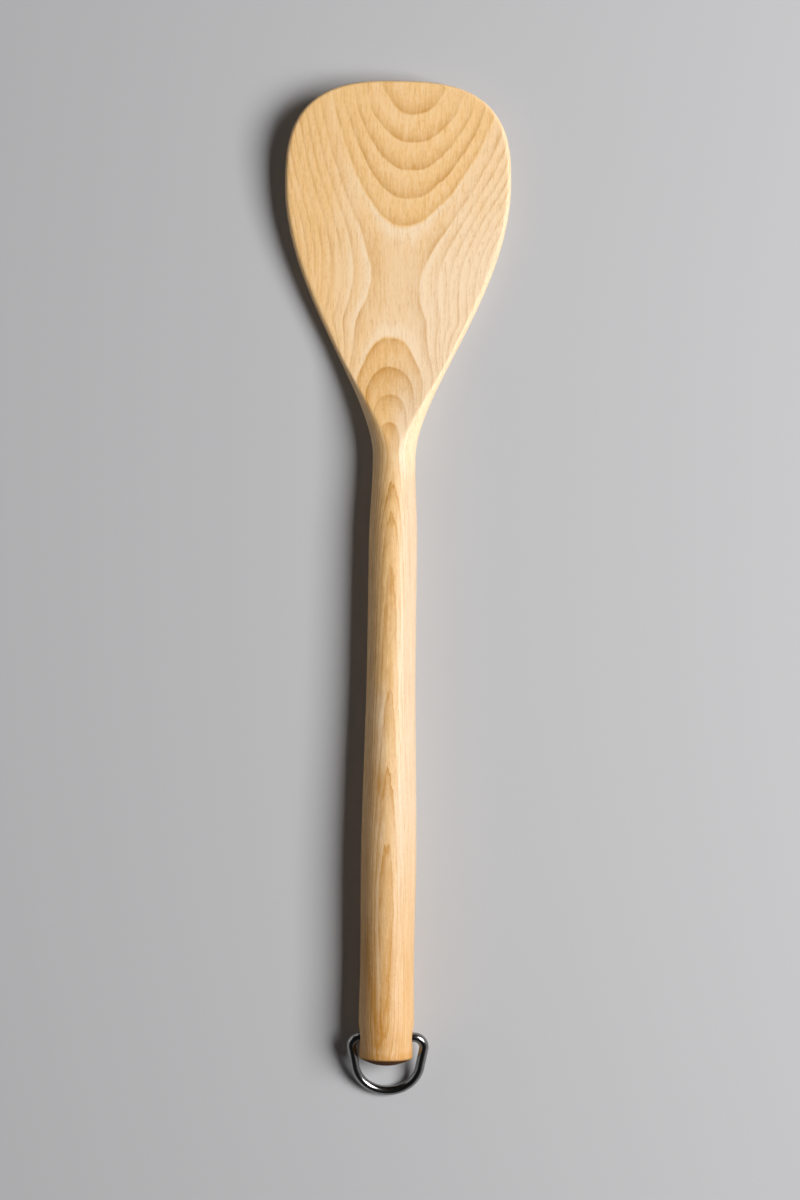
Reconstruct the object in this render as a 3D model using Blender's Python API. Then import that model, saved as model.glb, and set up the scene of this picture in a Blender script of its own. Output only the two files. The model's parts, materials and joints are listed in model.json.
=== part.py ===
"""Wooden spatula with a hanging ring, modelled in metres with +Z up.

The spatula lies face up on the table plane z = 0, along Y, with its blade towards +Y. The origin is on
the table, below the middle of the whole object. Two pieces: wooden_body, which is blade, neck and handle
carved from one blank, and hanging_ring, a wire D-ring that swings in the cross hole near the butt.
"""

import bpy
import numpy as np
from mathutils import Matrix

MM = 0.001

# Blade, seen from above
BLADE_HALF_WIDTH = 36.0 * MM
TIP_LENGTH = 32.5 * MM          # widest line to tip
TIP_SQUARENESS = 2.8            # exponent of the tip's superellipse, 2 is an ellipse
SIDE_LENGTH = 87.1 * MM         # widest line to neck
SIDE_FULLNESS = 34.0 * MM       # how far the side keeps its full width before it draws in
NECK_FULLNESS = 21.0 * MM       # how far the side runs alongside the neck before it spreads

# Handle, seen from above
NECK_RADIUS = 6.75 * MM
SHANK_RADIUS = 7.65 * MM
MIDDLE_RADIUS = 7.75 * MM
SWELL_RADIUS = 8.8 * MM
WAIST_RADIUS = 8.55 * MM
GRIP_RADIUS = 8.8 * MM
BUTT_RADIUS = 8.45 * MM
HANDLE_LENGTH = 190.9 * MM      # neck to the butt's edge
SHANK_FROM_NECK = 26.0 * MM
MIDDLE_FROM_NECK = 65.0 * MM
SWELL_FROM_BUTT = 62.0 * MM
WAIST_FROM_BUTT = 30.0 * MM
GRIP_FROM_BUTT = 12.0 * MM
BUTT_DOME_RISE = 2.5 * MM

# Heights above the table
NECK_AXIS_HEIGHT = 7.9 * MM
HEEL_EDGE_HEIGHT = 4.6 * MM     # the blade's widest line in section, at the heel
HEEL_THICKNESS = 6.5 * MM
TIP_UNDERSIDE_HEIGHT = 10.3 * MM
TIP_THICKNESS = 3.7 * MM
TIP_EDGE_DROP = 1.5 * MM        # top face down to the widest line in section, at the tip
LIFT_LENGTH = 80.0 * MM         # how far from the tip the blade starts to rise off the table
LIFT_SOFTNESS = 0.3             # 0 turns up at once and stays straight, large values curve all the way
THROAT_LENGTH = 36.0 * MM       # from the neck to where the blade's top face has come down
HEEL_START = 24.0 * MM          # from the neck to where the underside meets the table

# Edge rounding
RIM_RADIUS = 2.0 * MM           # upper edge of the blade
KEEL_ROUNDING_HEEL = 7.0 * MM   # lower edge of the blade, at the heel
KEEL_ROUNDING_TIP = 3.5 * MM
SHOULDER_DELAY = 5.5 * MM       # the round shoulders run this much further up than the throat does
CREASE_SOFTNESS = 0.4 * MM      # where the flat face meets a round shoulder

# Hanging ring and its hole
WIRE_DIAMETER = 3.0 * MM
HOLE_CLEARANCE = 0.5 * MM       # between the wire and the wall of its hole, all round
HOLE_FROM_BUTT = 6.6 * MM       # hole's axis to the butt's edge
COUNTERSINK_WIDTH = 0.9 * MM
COUNTERSINK_DEPTH = 0.6 * MM
RING_SIDE_CLEARANCE = 1.3 * MM  # between the grip and each leg of the ring
RING_SHOULDER_RADIUS = 3.5 * MM
RING_BOW_RADIUS = 10.5 * MM
RING_LOOP_DEPTH = 9.1 * MM      # free depth between the butt and the bow, ring held straight out
RING_SLIP = 0.5 * MM            # how far the ring rests towards +X in its play
WIRE_END_GAP = 0.8 * MM         # between the wire's two cut ends, inside the hole

# Mesh density
HALF_COLUMNS = 24               # columns across the upper side, and as many below
TIP_ROWS = 13
BLADE_STEP = 4.0 * MM
HANDLE_STEP = 7.0 * MM
DOME_ROWS = 5
WIRE_SIDES = 14
ARC_STEP_ANGLE = np.radians(12)
HOLE_SIDES = 24
SMOOTH_ANGLE = np.radians(40)

# Finish, as Base Color, Roughness and Metallic
WOOD_FINISH = ((0.78, 0.50, 0.24, 1.0), 0.5, 0.0)
STEEL_FINISH = ((0.60, 0.60, 0.60, 1.0), 0.2, 1.0)

# Places along Y that follow from the sizes above
WIRE_RADIUS = WIRE_DIAMETER / 2
HOLE_RADIUS = WIRE_RADIUS + HOLE_CLEARANCE
AXIS_HEIGHT = max(SWELL_RADIUS, WAIST_RADIUS, GRIP_RADIUS, BUTT_RADIUS)
RING_REACH = HOLE_FROM_BUTT + BUTT_DOME_RISE + RING_LOOP_DEPTH + WIRE_RADIUS
RING_TILT = np.arcsin((AXIS_HEIGHT - WIRE_RADIUS) / RING_REACH)
RING_END_FROM_HOLE = RING_REACH * np.cos(RING_TILT) + WIRE_RADIUS
OVERALL_LENGTH = TIP_LENGTH + SIDE_LENGTH + HANDLE_LENGTH - HOLE_FROM_BUTT + RING_END_FROM_HOLE
TIP_Y = OVERALL_LENGTH / 2
WIDEST_Y = TIP_Y - TIP_LENGTH
NECK_Y = WIDEST_Y - SIDE_LENGTH
BUTT_Y = NECK_Y - HANDLE_LENGTH
GRIP_Y = BUTT_Y + GRIP_FROM_BUTT
WAIST_Y = BUTT_Y + WAIST_FROM_BUTT
SWELL_Y = BUTT_Y + SWELL_FROM_BUTT
HOLE_Y = BUTT_Y + HOLE_FROM_BUTT
LIFT_Y = TIP_Y - LIFT_LENGTH


def smoothstep(t):
    """Goes from 0 to 1 as t does, level at both ends."""
    t = np.clip(t, 0.0, 1.0)
    return t * t * (3.0 - 2.0 * t)


def smooth_min(a, b, width):
    """The lesser of a and b, with the corner where they cross rounded over width."""
    near = np.clip(1.0 - np.abs(a - b) / width, 0.0, 1.0)
    return np.minimum(a, b) - near * near * width / 4


def smooth_path(x, stations, values):
    """A curve through the stations that never overshoots, level at its ends and at each high or low."""
    stations = np.array(stations)
    values = np.array(values)
    steps = np.diff(stations)
    slopes = np.diff(values) / steps
    tangents = np.zeros(len(values))
    before, after = slopes[:-1], slopes[1:]
    same_way = before * after > 0
    both = np.where(same_way, before + after, 1.0)
    tangents[1:-1] = np.where(same_way, 2.0 * before * after / both, 0.0)
    x = np.clip(x, stations[0], stations[-1])
    i = np.clip(np.searchsorted(stations, x) - 1, 0, len(steps) - 1)
    h = steps[i]
    t = (x - stations[i]) / h
    return (
        values[i] * (1 + 2 * t) * (1 - t) ** 2
        + values[i + 1] * t * t * (3 - 2 * t)
        + tangents[i] * h * t * (1 - t) ** 2
        - tangents[i + 1] * h * t * t * (1 - t)
    )


def lift(y):
    """The blade's rise from LIFT_Y to the tip, from 0 to 1: a curve that runs out into a straight line."""
    t = np.clip((y - LIFT_Y) / LIFT_LENGTH, 0.0, None)
    return t * t * (1.0 + LIFT_SOFTNESS) / (t + LIFT_SOFTNESS)


def side_curve(y):
    """Half-width and its slope from neck to widest line: a cubic curve that leaves both along Y."""
    t = np.linspace(0.0, 1.0, 400)
    along = (
        WIDEST_Y * (1 - t) ** 3
        + 3 * (WIDEST_Y - SIDE_FULLNESS) * t * (1 - t) ** 2
        + 3 * (NECK_Y + NECK_FULLNESS) * t * t * (1 - t)
        + NECK_Y * t**3
    )
    across = BLADE_HALF_WIDTH + (NECK_RADIUS - BLADE_HALF_WIDTH) * smoothstep(t)
    half_width = np.interp(y, along[::-1], across[::-1])
    slope = np.interp(y, along[::-1], np.gradient(across, along)[::-1])
    return half_width, slope


def handle_radius(y):
    """Radius of the handle from butt to neck."""
    return smooth_path(
        y,
        [
            BUTT_Y,
            GRIP_Y,
            WAIST_Y,
            SWELL_Y,
            NECK_Y - MIDDLE_FROM_NECK,
            NECK_Y - SHANK_FROM_NECK,
            NECK_Y,
        ],
        [
            BUTT_RADIUS,
            GRIP_RADIUS,
            WAIST_RADIUS,
            SWELL_RADIUS,
            MIDDLE_RADIUS,
            SHANK_RADIUS,
            NECK_RADIUS,
        ],
    )


def half_width_at(y):
    """Half-width of the whole outline seen from above, at each y up to the tip."""
    along_tip = np.clip((y - WIDEST_Y) / TIP_LENGTH, 0.0, 1.0)
    tip = BLADE_HALF_WIDTH * (1.0 - along_tip**TIP_SQUARENESS) ** (1.0 / TIP_SQUARENESS)
    side, _ = side_curve(y)
    return np.where(y > WIDEST_Y, tip, np.where(y > NECK_Y, side, handle_radius(y)))


def edge_distance(x, y, half_width):
    """How far a point of the plan lies inside the outline, to first order.

    Alongside it is the distance across, turned by the outline's slope. At the tip it is (1 - p) / |grad p|,
    where p is the superellipse's own measure: 0 at its centre and 1 on its outline.
    """
    _, slope = side_curve(y)
    slope = np.where((y > NECK_Y) & (y < WIDEST_Y), slope, 0.0)
    alongside = (half_width - np.abs(x)) / np.sqrt(1.0 + slope * slope)
    n = TIP_SQUARENESS
    u = np.abs(x) / BLADE_HALF_WIDTH
    v = np.clip((y - WIDEST_Y) / TIP_LENGTH, 0.0, 1.0)
    measure = np.maximum((u**n + v**n) ** (1.0 / n), 0.1)
    steepness = np.hypot(u ** (n - 1) / BLADE_HALF_WIDTH, v ** (n - 1) / TIP_LENGTH)
    gradient = measure ** (1 - n) * steepness
    at_tip = (1.0 - measure) / np.maximum(gradient, 1.0)
    return np.clip(np.where(y > WIDEST_Y, at_tip, alongside), 0.0, None)


def bulge(distance, rounding):
    """Rises from 0 on the outline to 1 at the rounding's inner edge, along a quarter ellipse."""
    t = 1.0 - np.clip(distance / rounding, 0.0, 1.0)
    return np.sqrt(1.0 - t * t)


def edge_height(y):
    """Height of the widest line in section: the handle's axis, then the blade's edge."""
    towards_neck = smoothstep((y - SWELL_Y) / (NECK_Y - SWELL_Y))
    handle = AXIS_HEIGHT + (NECK_AXIS_HEIGHT - AXIS_HEIGHT) * towards_neck
    tip_rise = TIP_UNDERSIDE_HEIGHT + TIP_THICKNESS - TIP_EDGE_DROP - HEEL_EDGE_HEIGHT
    throat = smoothstep((y - NECK_Y) / THROAT_LENGTH)
    blade = NECK_AXIS_HEIGHT + (HEEL_EDGE_HEIGHT - NECK_AXIS_HEIGHT) * throat + tip_rise * lift(y)
    return np.where(y > NECK_Y, blade, handle)


def top_face_height(y):
    """Height of the blade's flat face: down from the handle's crest to the heel, then up to the tip."""
    crest = NECK_AXIS_HEIGHT + NECK_RADIUS
    throat = smoothstep((y - NECK_Y) / THROAT_LENGTH)
    tip_rise = TIP_UNDERSIDE_HEIGHT + TIP_THICKNESS - HEEL_THICKNESS
    blade = crest + (HEEL_THICKNESS - crest) * throat + tip_rise * lift(y)
    return np.where(y > NECK_Y, blade, edge_height(y) + handle_radius(y))


def underside_height(y):
    """Height of the lowest line: the handle's belly, the heel on the table, then the rise to the tip."""
    belly = NECK_AXIS_HEIGHT - NECK_RADIUS
    blade = belly * (1.0 - smoothstep((y - NECK_Y) / HEEL_START)) + TIP_UNDERSIDE_HEIGHT * lift(y)
    return np.where(y > NECK_Y, blade, edge_height(y) - handle_radius(y))


def surface_heights(x, y, half_width):
    """Upper and lower height of the wood over the plan points (x, y)."""
    inside = edge_distance(x, y, half_width)
    edge = edge_height(y)
    round_part = 1.0 - smoothstep((y - NECK_Y - SHOULDER_DELAY) / THROAT_LENGTH)
    shoulder = np.where(y > NECK_Y, RIM_RADIUS + (NECK_RADIUS - RIM_RADIUS) * round_part, half_width)
    shoulder = np.maximum(shoulder, 1e-6)
    round_top = edge + np.maximum(shoulder, top_face_height(y) - edge) * bulge(inside, shoulder)
    upper = smooth_min(top_face_height(y), round_top, CREASE_SOFTNESS)
    upper = np.where(y > NECK_Y, upper, round_top)
    keel_blade = KEEL_ROUNDING_HEEL + (KEEL_ROUNDING_TIP - KEEL_ROUNDING_HEEL) * lift(y)
    spread = smoothstep((y - NECK_Y) / HEEL_START)
    keel = np.where(y > NECK_Y, NECK_RADIUS + (keel_blade - NECK_RADIUS) * spread, half_width)
    lower = edge - (edge - underside_height(y)) * bulge(inside, np.maximum(keel, 1e-6))
    return np.maximum(upper, edge), np.minimum(lower, edge)


def body_rows():
    """The y of each cross-section from tip to butt, without the tip's point and the butt's dome."""
    quarter = np.linspace(0.0, np.pi / 2, TIP_ROWS + 1)
    tip = WIDEST_Y + TIP_LENGTH * np.sin(quarter[-2::-1])
    blade_rows = max(2, round(SIDE_LENGTH / BLADE_STEP))
    blade = np.linspace(WIDEST_Y, NECK_Y, blade_rows + 1)[1:]
    handle_rows = max(4, round(HANDLE_LENGTH / HANDLE_STEP))
    handle = np.linspace(NECK_Y, BUTT_Y, handle_rows + 1)[1:]
    return np.concatenate([tip, blade, handle])


def section_loops():
    """Closed cross-section loops from tip to dome, as an array (rows, columns, xyz).

    Across, x runs as the sine of an even angle, which puts more columns near the edges.
    """
    y = body_rows()[:, None]
    angle = np.linspace(-np.pi / 2, np.pi / 2, HALF_COLUMNS + 1)
    half_width = half_width_at(y)
    x = half_width * np.sin(angle)
    upper, lower = surface_heights(x, y, half_width)
    over = np.stack([x, np.broadcast_to(y, x.shape), upper], axis=2)
    under = np.stack([x, np.broadcast_to(y, x.shape), lower], axis=2)
    body = np.concatenate([over, under[:, -2:0:-1]], axis=1)

    dome_radius = (BUTT_RADIUS**2 + BUTT_DOME_RISE**2) / (2 * BUTT_DOME_RISE)
    rim = np.arcsin(BUTT_RADIUS / dome_radius)
    polar = np.linspace(rim, 0.0, DOME_ROWS + 1)[1:-1]
    scale = (dome_radius * np.sin(polar) / BUTT_RADIUS)[:, None]
    back = (dome_radius * (np.cos(polar) - np.cos(rim)))[:, None]
    last = body[-1][None]
    dome = np.stack(
        [
            last[:, :, 0] * scale,
            BUTT_Y - back + 0 * last[:, :, 0],
            AXIS_HEIGHT + (last[:, :, 2] - AXIS_HEIGHT) * scale,
        ],
        axis=2,
    )
    return np.concatenate([body, dome])


def mesh_from_loops(name, loops, first_point, last_point):
    """A closed mesh over a stack of loops, with a fan to one point at each end."""
    rows, columns, _ = loops.shape
    points = np.concatenate([loops.reshape(-1, 3), [first_point, last_point]])
    index = np.arange(rows * columns).reshape(rows, columns)
    following = np.roll(index, -1, axis=1)
    quads = np.stack([index[:-1], index[1:], following[1:], following[:-1]], axis=2).reshape(-1, 4)
    first, last = rows * columns, rows * columns + 1
    caps = [(first, a, b) for a, b in zip(index[0], following[0])]
    caps += [(last, b, a) for a, b in zip(index[-1], following[-1])]
    mesh = bpy.data.meshes.new(name)
    mesh.from_pydata(points.tolist(), [], quads.tolist() + [tuple(map(int, c)) for c in caps])
    mesh.validate()
    return mesh


def add_object(name, mesh, finish):
    """Puts a mesh in the scene under name, with a material of its own, shaded smooth up to SMOOTH_ANGLE."""
    colour, roughness, metallic = finish
    material = bpy.data.materials.new(name)
    material.use_nodes = True
    shader = material.node_tree.nodes["Principled BSDF"]
    shader.inputs["Base Color"].default_value = colour
    shader.inputs["Roughness"].default_value = roughness
    shader.inputs["Metallic"].default_value = metallic
    mesh.materials.append(material)
    mesh.shade_smooth()
    mesh.set_sharp_from_angle(angle=SMOOTH_ANGLE)
    obj = bpy.data.objects.new(name, mesh)
    bpy.context.collection.objects.link(obj)
    return obj


def hole_cutter():
    """A shaft along X through the grip, wider at both mouths by the countersink."""
    reach = GRIP_RADIUS + COUNTERSINK_WIDTH
    mouth = np.sqrt(GRIP_RADIUS**2 - (HOLE_RADIUS + COUNTERSINK_WIDTH) ** 2)
    flare = COUNTERSINK_WIDTH / COUNTERSINK_DEPTH
    wide = HOLE_RADIUS + COUNTERSINK_WIDTH + (reach - mouth) * flare
    stations = [(-reach, wide), (-mouth + COUNTERSINK_DEPTH, HOLE_RADIUS)]
    stations += [(-place, radius) for place, radius in reversed(stations)]
    angle = np.arange(HOLE_SIDES) * 2 * np.pi / HOLE_SIDES
    loops = np.stack(
        [
            np.stack(
                [
                    np.full(HOLE_SIDES, place),
                    HOLE_Y + radius * np.sin(angle),
                    AXIS_HEIGHT + radius * np.cos(angle),
                ],
                axis=1,
            )
            for place, radius in stations
        ]
    )
    ends = [(place, HOLE_Y, AXIS_HEIGHT) for place in (-reach, reach)]
    cutter = add_object("hole_cutter", mesh_from_loops("hole_cutter", loops, *ends), WOOD_FINISH)
    cutter.hide_render = True
    cutter.display_type = "WIRE"
    return cutter


def make_wooden_body():
    """Blade, neck and handle in one, with the ring's cross hole."""
    loops = section_loops()
    tip_point = (0.0, TIP_Y, float(edge_height(np.array([TIP_Y]))[0]))
    butt_point = (0.0, BUTT_Y - BUTT_DOME_RISE, AXIS_HEIGHT)
    mesh = mesh_from_loops("wooden_body", loops, tip_point, butt_point)
    body = add_object("wooden_body", mesh, WOOD_FINISH)
    cut = body.modifiers.new("cross hole", "BOOLEAN")
    cut.operation = "DIFFERENCE"
    cut.solver = "EXACT"
    cut.object = hole_cutter()
    return body


def arc(centre, radius, start, end):
    """Points on an arc in the ring's plane, from angle start to end, at most ARC_STEP_ANGLE apart."""
    steps = max(2, int(np.ceil(abs(end - start) / ARC_STEP_ANGLE)))
    angle = np.linspace(start, end, steps + 1)
    return np.stack([centre[0] + radius * np.cos(angle), centre[1] + radius * np.sin(angle)], axis=1)


def ring_path():
    """Middle of the wire, as (x, s): s is the distance from the hole's axis towards the bow.

    From one cut end along the bar, round a shoulder, down a leg that touches both the shoulder's and the
    bow's circle, round the bow, and back the same way.
    """
    shoulder = np.array(
        [
            GRIP_RADIUS + RING_SIDE_CLEARANCE + WIRE_RADIUS - RING_SHOULDER_RADIUS,
            RING_SHOULDER_RADIUS,
        ]
    )
    bow = np.array([0.0, RING_REACH - RING_BOW_RADIUS])
    across, along = bow - shoulder
    towards_bow = np.arctan2(along, across)
    apart = np.hypot(across, along)
    touch = towards_bow - np.arccos((RING_SHOULDER_RADIUS - RING_BOW_RADIUS) / apart)
    half = np.concatenate(
        [
            [[WIRE_END_GAP / 2, 0.0]],
            arc(shoulder, RING_SHOULDER_RADIUS, -np.pi / 2, touch),
            arc(bow, RING_BOW_RADIUS, touch, np.pi / 2),
        ]
    )
    other = half[-2::-1] * [-1.0, 1.0]
    return np.concatenate([half, other])


def make_hanging_ring():
    """The wire ring, with its origin on the hole's axis, drooped until its bow lies on the table."""
    path = ring_path()
    tangent = np.gradient(path, axis=0)
    tangent /= np.linalg.norm(tangent, axis=1, keepdims=True)
    tangent[0] = (1.0, 0.0)
    tangent[-1] = (1.0, 0.0)
    sideways = np.stack([tangent[:, 1], -tangent[:, 0]], axis=1)
    angle = np.arange(WIRE_SIDES) * 2 * np.pi / WIRE_SIDES
    in_plane = path[:, None] + WIRE_RADIUS * np.cos(angle)[None, :, None] * sideways[:, None]
    loops = np.stack(
        [
            in_plane[:, :, 0],
            -in_plane[:, :, 1],
            np.broadcast_to(-WIRE_RADIUS * np.sin(angle), in_plane.shape[:2]),
        ],
        axis=2,
    )
    ends = [(x, -s, 0.0) for x, s in (path[0], path[-1])]
    ring = add_object("hanging_ring", mesh_from_loops("hanging_ring", loops, *ends), STEEL_FINISH)
    place = Matrix.Translation((RING_SLIP, HOLE_Y, AXIS_HEIGHT))
    ring.matrix_world = place @ Matrix.Rotation(RING_TILT, 4, "X")
    return ring


for old in list(bpy.data.objects):
    bpy.data.objects.remove(old, do_unlink=True)

make_wooden_body()
make_hanging_ring()
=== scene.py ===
"""Makes a wooden spatula with a wire hanging ring, its finishes, and the stage it is shown on.

The spatula lies face up on the floor z = 0, along Y, its blade towards +Y. Lengths are in metres, and shader
values work in millimetres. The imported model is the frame: each surface here stands for one of its nodes.
"""

import json

import bpy
import numpy as np
from bpy.props import FloatProperty, FloatVectorProperty, PointerProperty
from mathutils import Matrix, Vector


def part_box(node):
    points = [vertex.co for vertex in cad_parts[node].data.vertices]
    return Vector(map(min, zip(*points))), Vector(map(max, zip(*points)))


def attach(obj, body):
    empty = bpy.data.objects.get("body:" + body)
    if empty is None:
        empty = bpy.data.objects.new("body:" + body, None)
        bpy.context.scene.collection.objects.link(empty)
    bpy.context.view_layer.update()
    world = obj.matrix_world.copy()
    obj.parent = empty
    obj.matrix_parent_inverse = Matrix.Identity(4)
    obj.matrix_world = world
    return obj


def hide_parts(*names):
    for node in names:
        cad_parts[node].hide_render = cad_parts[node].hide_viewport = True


bl_info = {
    "name": "Wooden spatula",
    "version": (1, 0, 0),
    "blender": (4, 5, 0),
    "location": "3D View > Sidebar > Spatula",
    "description": "Makes a wooden spatula with a wire hanging ring, and a stage to show it on",
    "category": "Object",
}

MM = 0.001
SMOOTH_ANGLE = np.radians(40)

# The wood's figure, in millimetres along Y and in years
SADDLE = 98.7  # the grain runs level with the blade's face
NECK_ARCHES = 66.0  # middle of the arches in the neck
PALE_RING = 67  # years from the pith to the wide pale one that shows at the saddle

# The stage, in metres but for the lens and the pale floor, which are in millimetres
FLOOR_HALF = 20.0
FLOOR_HEIGHT = -0.05 * MM  # just clear of the pieces that lie on it
PALE_FLOOR = (800.0, 1700.0)  # how far off the floor starts to show pale, and shows as pale as the horizon
HORIZON = (0.62, 0.62, 0.63)
CEILING = (0.015, 0.015, 0.015)
BLACK = (0.0, 0.0, 0.0)
CAMERA_X = 2.47 * MM
CAMERA_Y = -2.9 * MM
LENS = 93.34
SENSOR_WIDTH = 36.0

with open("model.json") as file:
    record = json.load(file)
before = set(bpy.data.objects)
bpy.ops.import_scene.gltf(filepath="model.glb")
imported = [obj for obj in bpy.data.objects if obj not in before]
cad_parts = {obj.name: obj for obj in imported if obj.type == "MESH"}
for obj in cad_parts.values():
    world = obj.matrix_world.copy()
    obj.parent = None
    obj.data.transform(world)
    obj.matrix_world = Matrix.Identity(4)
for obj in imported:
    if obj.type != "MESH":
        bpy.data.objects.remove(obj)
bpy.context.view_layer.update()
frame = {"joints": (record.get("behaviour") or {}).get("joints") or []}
BODY_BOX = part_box("wooden_body")
RING_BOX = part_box("hanging_ring")
RING_HINGE = Vector(frame["joints"][0]["pos_m"])


def length(name, millimetres, description):
    """A size of the object that a user can change."""
    return FloatProperty(
        name=name, description=description, default=millimetres * MM, min=0.0, unit="LENGTH", precision=4
    )


def share(name, value, description, top=1.0):
    """A plain number from 0 to top that a user can change."""
    return FloatProperty(name=name, description=description, default=value, min=0.0, max=top)


def colour(name, value, description):
    """A colour that a user can change, as scene-linear red, green and blue."""
    return FloatVectorProperty(
        name=name, description=description, default=value, min=0.0, max=1.0, size=3, subtype="COLOR"
    )


class SpatulaBodySizes(bpy.types.PropertyGroup):
    """Sizes of the wooden body."""

    blade_half_width: length("Blade half-width", 36.0, "Half the blade's greatest width")
    tip_length: length("Tip length", 32.5, "From the blade's widest line to its tip")
    tip_squareness: share("Tip squareness", 2.8, "Exponent of the tip's superellipse, 2 is an ellipse", 6.0)
    side_length: length("Side length", 87.1, "From the blade's widest line to the neck")
    side_fullness: length("Side fullness", 34.0, "How far the side keeps its full width")
    neck_fullness: length("Neck fullness", 21.0, "How far the side runs alongside the neck")
    neck_radius: length("Neck radius", 6.75, "Radius at the neck")
    shank_radius: length("Shank radius", 7.65, "Radius behind the neck")
    middle_radius: length("Middle radius", 7.75, "Radius midway along the handle")
    swell_radius: length("Swell radius", 8.8, "Radius of the handle's swell")
    waist_radius: length("Waist radius", 8.55, "Radius of the slight waist behind the swell")
    grip_radius: length("Grip radius", 8.8, "Radius just before the butt")
    butt_radius: length("Butt radius", 8.45, "Radius of the butt's edge")
    handle_length: length("Handle length", 190.9, "From the neck to the butt's edge")
    shank_from_neck: length("Shank place", 26.0, "From the neck to the shank")
    middle_from_neck: length("Middle place", 65.0, "From the neck to the handle's middle")
    swell_from_butt: length("Swell place", 62.0, "From the butt's edge to the swell")
    waist_from_butt: length("Waist place", 30.0, "From the butt's edge to the waist")
    grip_from_butt: length("Grip place", 12.0, "From the butt's edge to the full grip")
    butt_dome_rise: length("Butt dome rise", 2.5, "How far the butt's end bulges out")
    neck_axis_height: length("Neck height", 7.9, "Height of the neck's axis")
    heel_edge_height: length("Heel edge height", 4.6, "Height of the blade's widest line at the heel")
    heel_thickness: length("Heel thickness", 6.5, "Thickness of the blade at the heel")
    tip_underside: length("Tip underside", 10.3, "Height of the tip's underside")
    tip_thickness: length("Tip thickness", 3.7, "Thickness of the tip")
    tip_edge_drop: length("Tip edge drop", 1.5, "From the top face down to the tip's widest line")
    lift_length: length("Lift length", 80.0, "How far from the tip the blade starts to rise")
    lift_softness: share("Lift softness", 0.3, "0 turns up at once, large values curve all the way")
    throat_length: length("Throat length", 36.0, "From the neck to where the top face has come down")
    heel_start: length("Heel start", 24.0, "From the neck to where the underside meets the table")
    rim_radius: length("Rim radius", 2.0, "Rounding of the blade's upper edge")
    keel_rounding_heel: length("Heel rounding", 7.0, "Rounding of the blade's lower edge at the heel")
    keel_rounding_tip: length("Tip rounding", 3.5, "Rounding of the blade's lower edge at the tip")
    shoulder_delay: length("Shoulder delay", 5.5, "How much further the shoulders run up than the throat")
    crease_softness: length("Crease softness", 0.4, "Width of the crease between face and shoulder")
    hole_from_butt: length("Hole place", 6.6, "From the butt's edge to the hole's axis")
    hole_radius: length("Hole radius", 2.0, "Radius of the ring's cross hole")
    countersink_width: length("Countersink width", 0.9, "How far the hole's mouth is widened")
    countersink_depth: length("Countersink depth", 0.6, "How deep the widened mouth goes")


class SpatulaRingSizes(bpy.types.PropertyGroup):
    """Sizes of the hanging ring."""

    wire_radius: length("Wire radius", 1.5, "Radius of the ring's wire")
    half_width: length("Half-width", 13.1, "Half the ring's outer width, at its shoulders")
    shoulder_radius: length("Shoulder radius", 3.5, "Bend radius of the wire beside the hole")
    bow_radius: length("Bow radius", 10.5, "Bend radius of the ring's far end")
    reach: length("Reach", 19.7, "From the hole's axis to the middle of the bow's wire")
    end_gap: length("End gap", 0.8, "Between the wire's two cut ends, inside the hole")


class SpatulaWoodLook(bpy.types.PropertyGroup):
    """Colours and figure of the wood, with the colours that paint light and shade on it."""

    wood: colour("Wood", (0.94, 0.595, 0.262), "Early wood, the light part of each year's growth")
    # Pale wood of the blade's middle field, early wood and fibres; also the colour of painted light on the
    # lit side and in the handle's left band.
    pale_and_painted_light: colour("Pale wood and painted light", (0.99, 0.755, 0.50), "The pale field in the middle of the blade")
    # Painted highlight: paler, greyer wood for the handle's side that faces the key lamp.
    painted_highlight_wood: colour("Painted highlight wood", (0.78, 0.60, 0.425), "The pale side of the handle")
    late: colour("Late wood", (0.60, 0.27, 0.045), "The dark edge of each year's growth")
    honey: colour("Honey wood", (0.66, 0.36, 0.125), "The brown stripe along the handle")
    # Near black: the butt's end grain, darkened further as painted shade on the dome, which faces away from
    # the lamps.
    end: colour("End grain and shade", (0.085, 0.028, 0.001), "The dark end grain of the butt")
    pore: colour("Pores", (0.40, 0.20, 0.08), "The short dark pores")
    ring_width: length("Ring width", 0.785, "Thickness of one year's growth")
    roughness: share("Roughness", 0.41, "Roughness of the oiled surface")


class SpatulaSteelLook(bpy.types.PropertyGroup):
    """Finish of the ring."""

    steel: colour("Steel", (0.28, 0.275, 0.27), "Polished wire")
    rubbed: colour("Rubbed steel", (0.16, 0.155, 0.15), "Where the wire is rubbed dull")
    roughness: share("Roughness", 0.2, "Roughness of the polished wire")


class SpatulaStageLook(bpy.types.PropertyGroup):
    """Floor, lamps and camera."""

    floor: colour("Floor", (0.52, 0.52, 0.53), "The plain floor")
    camera_height: FloatProperty(
        name="Camera height", description="Height of the camera above the floor", default=1.0, unit="LENGTH"
    )
    turn: FloatProperty(
        name="Turn", description="How far the camera is turned about the vertical", default=np.radians(0.8),
        unit="ROTATION"
    )


def smoothstep(t):
    """3 t squared minus 2 t cubed: goes from 0 to 1 as t does, level at both ends."""
    t = np.clip(t, 0.0, 1.0)
    return t * t * (3.0 - 2.0 * t)


def smooth_min(a, b, width):
    """The lesser of a and b, less a quarter of width times the square of how near they are."""
    near = np.clip(1.0 - np.abs(a - b) / width, 0.0, 1.0)
    return np.minimum(a, b) - near * near * width / 4


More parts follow.
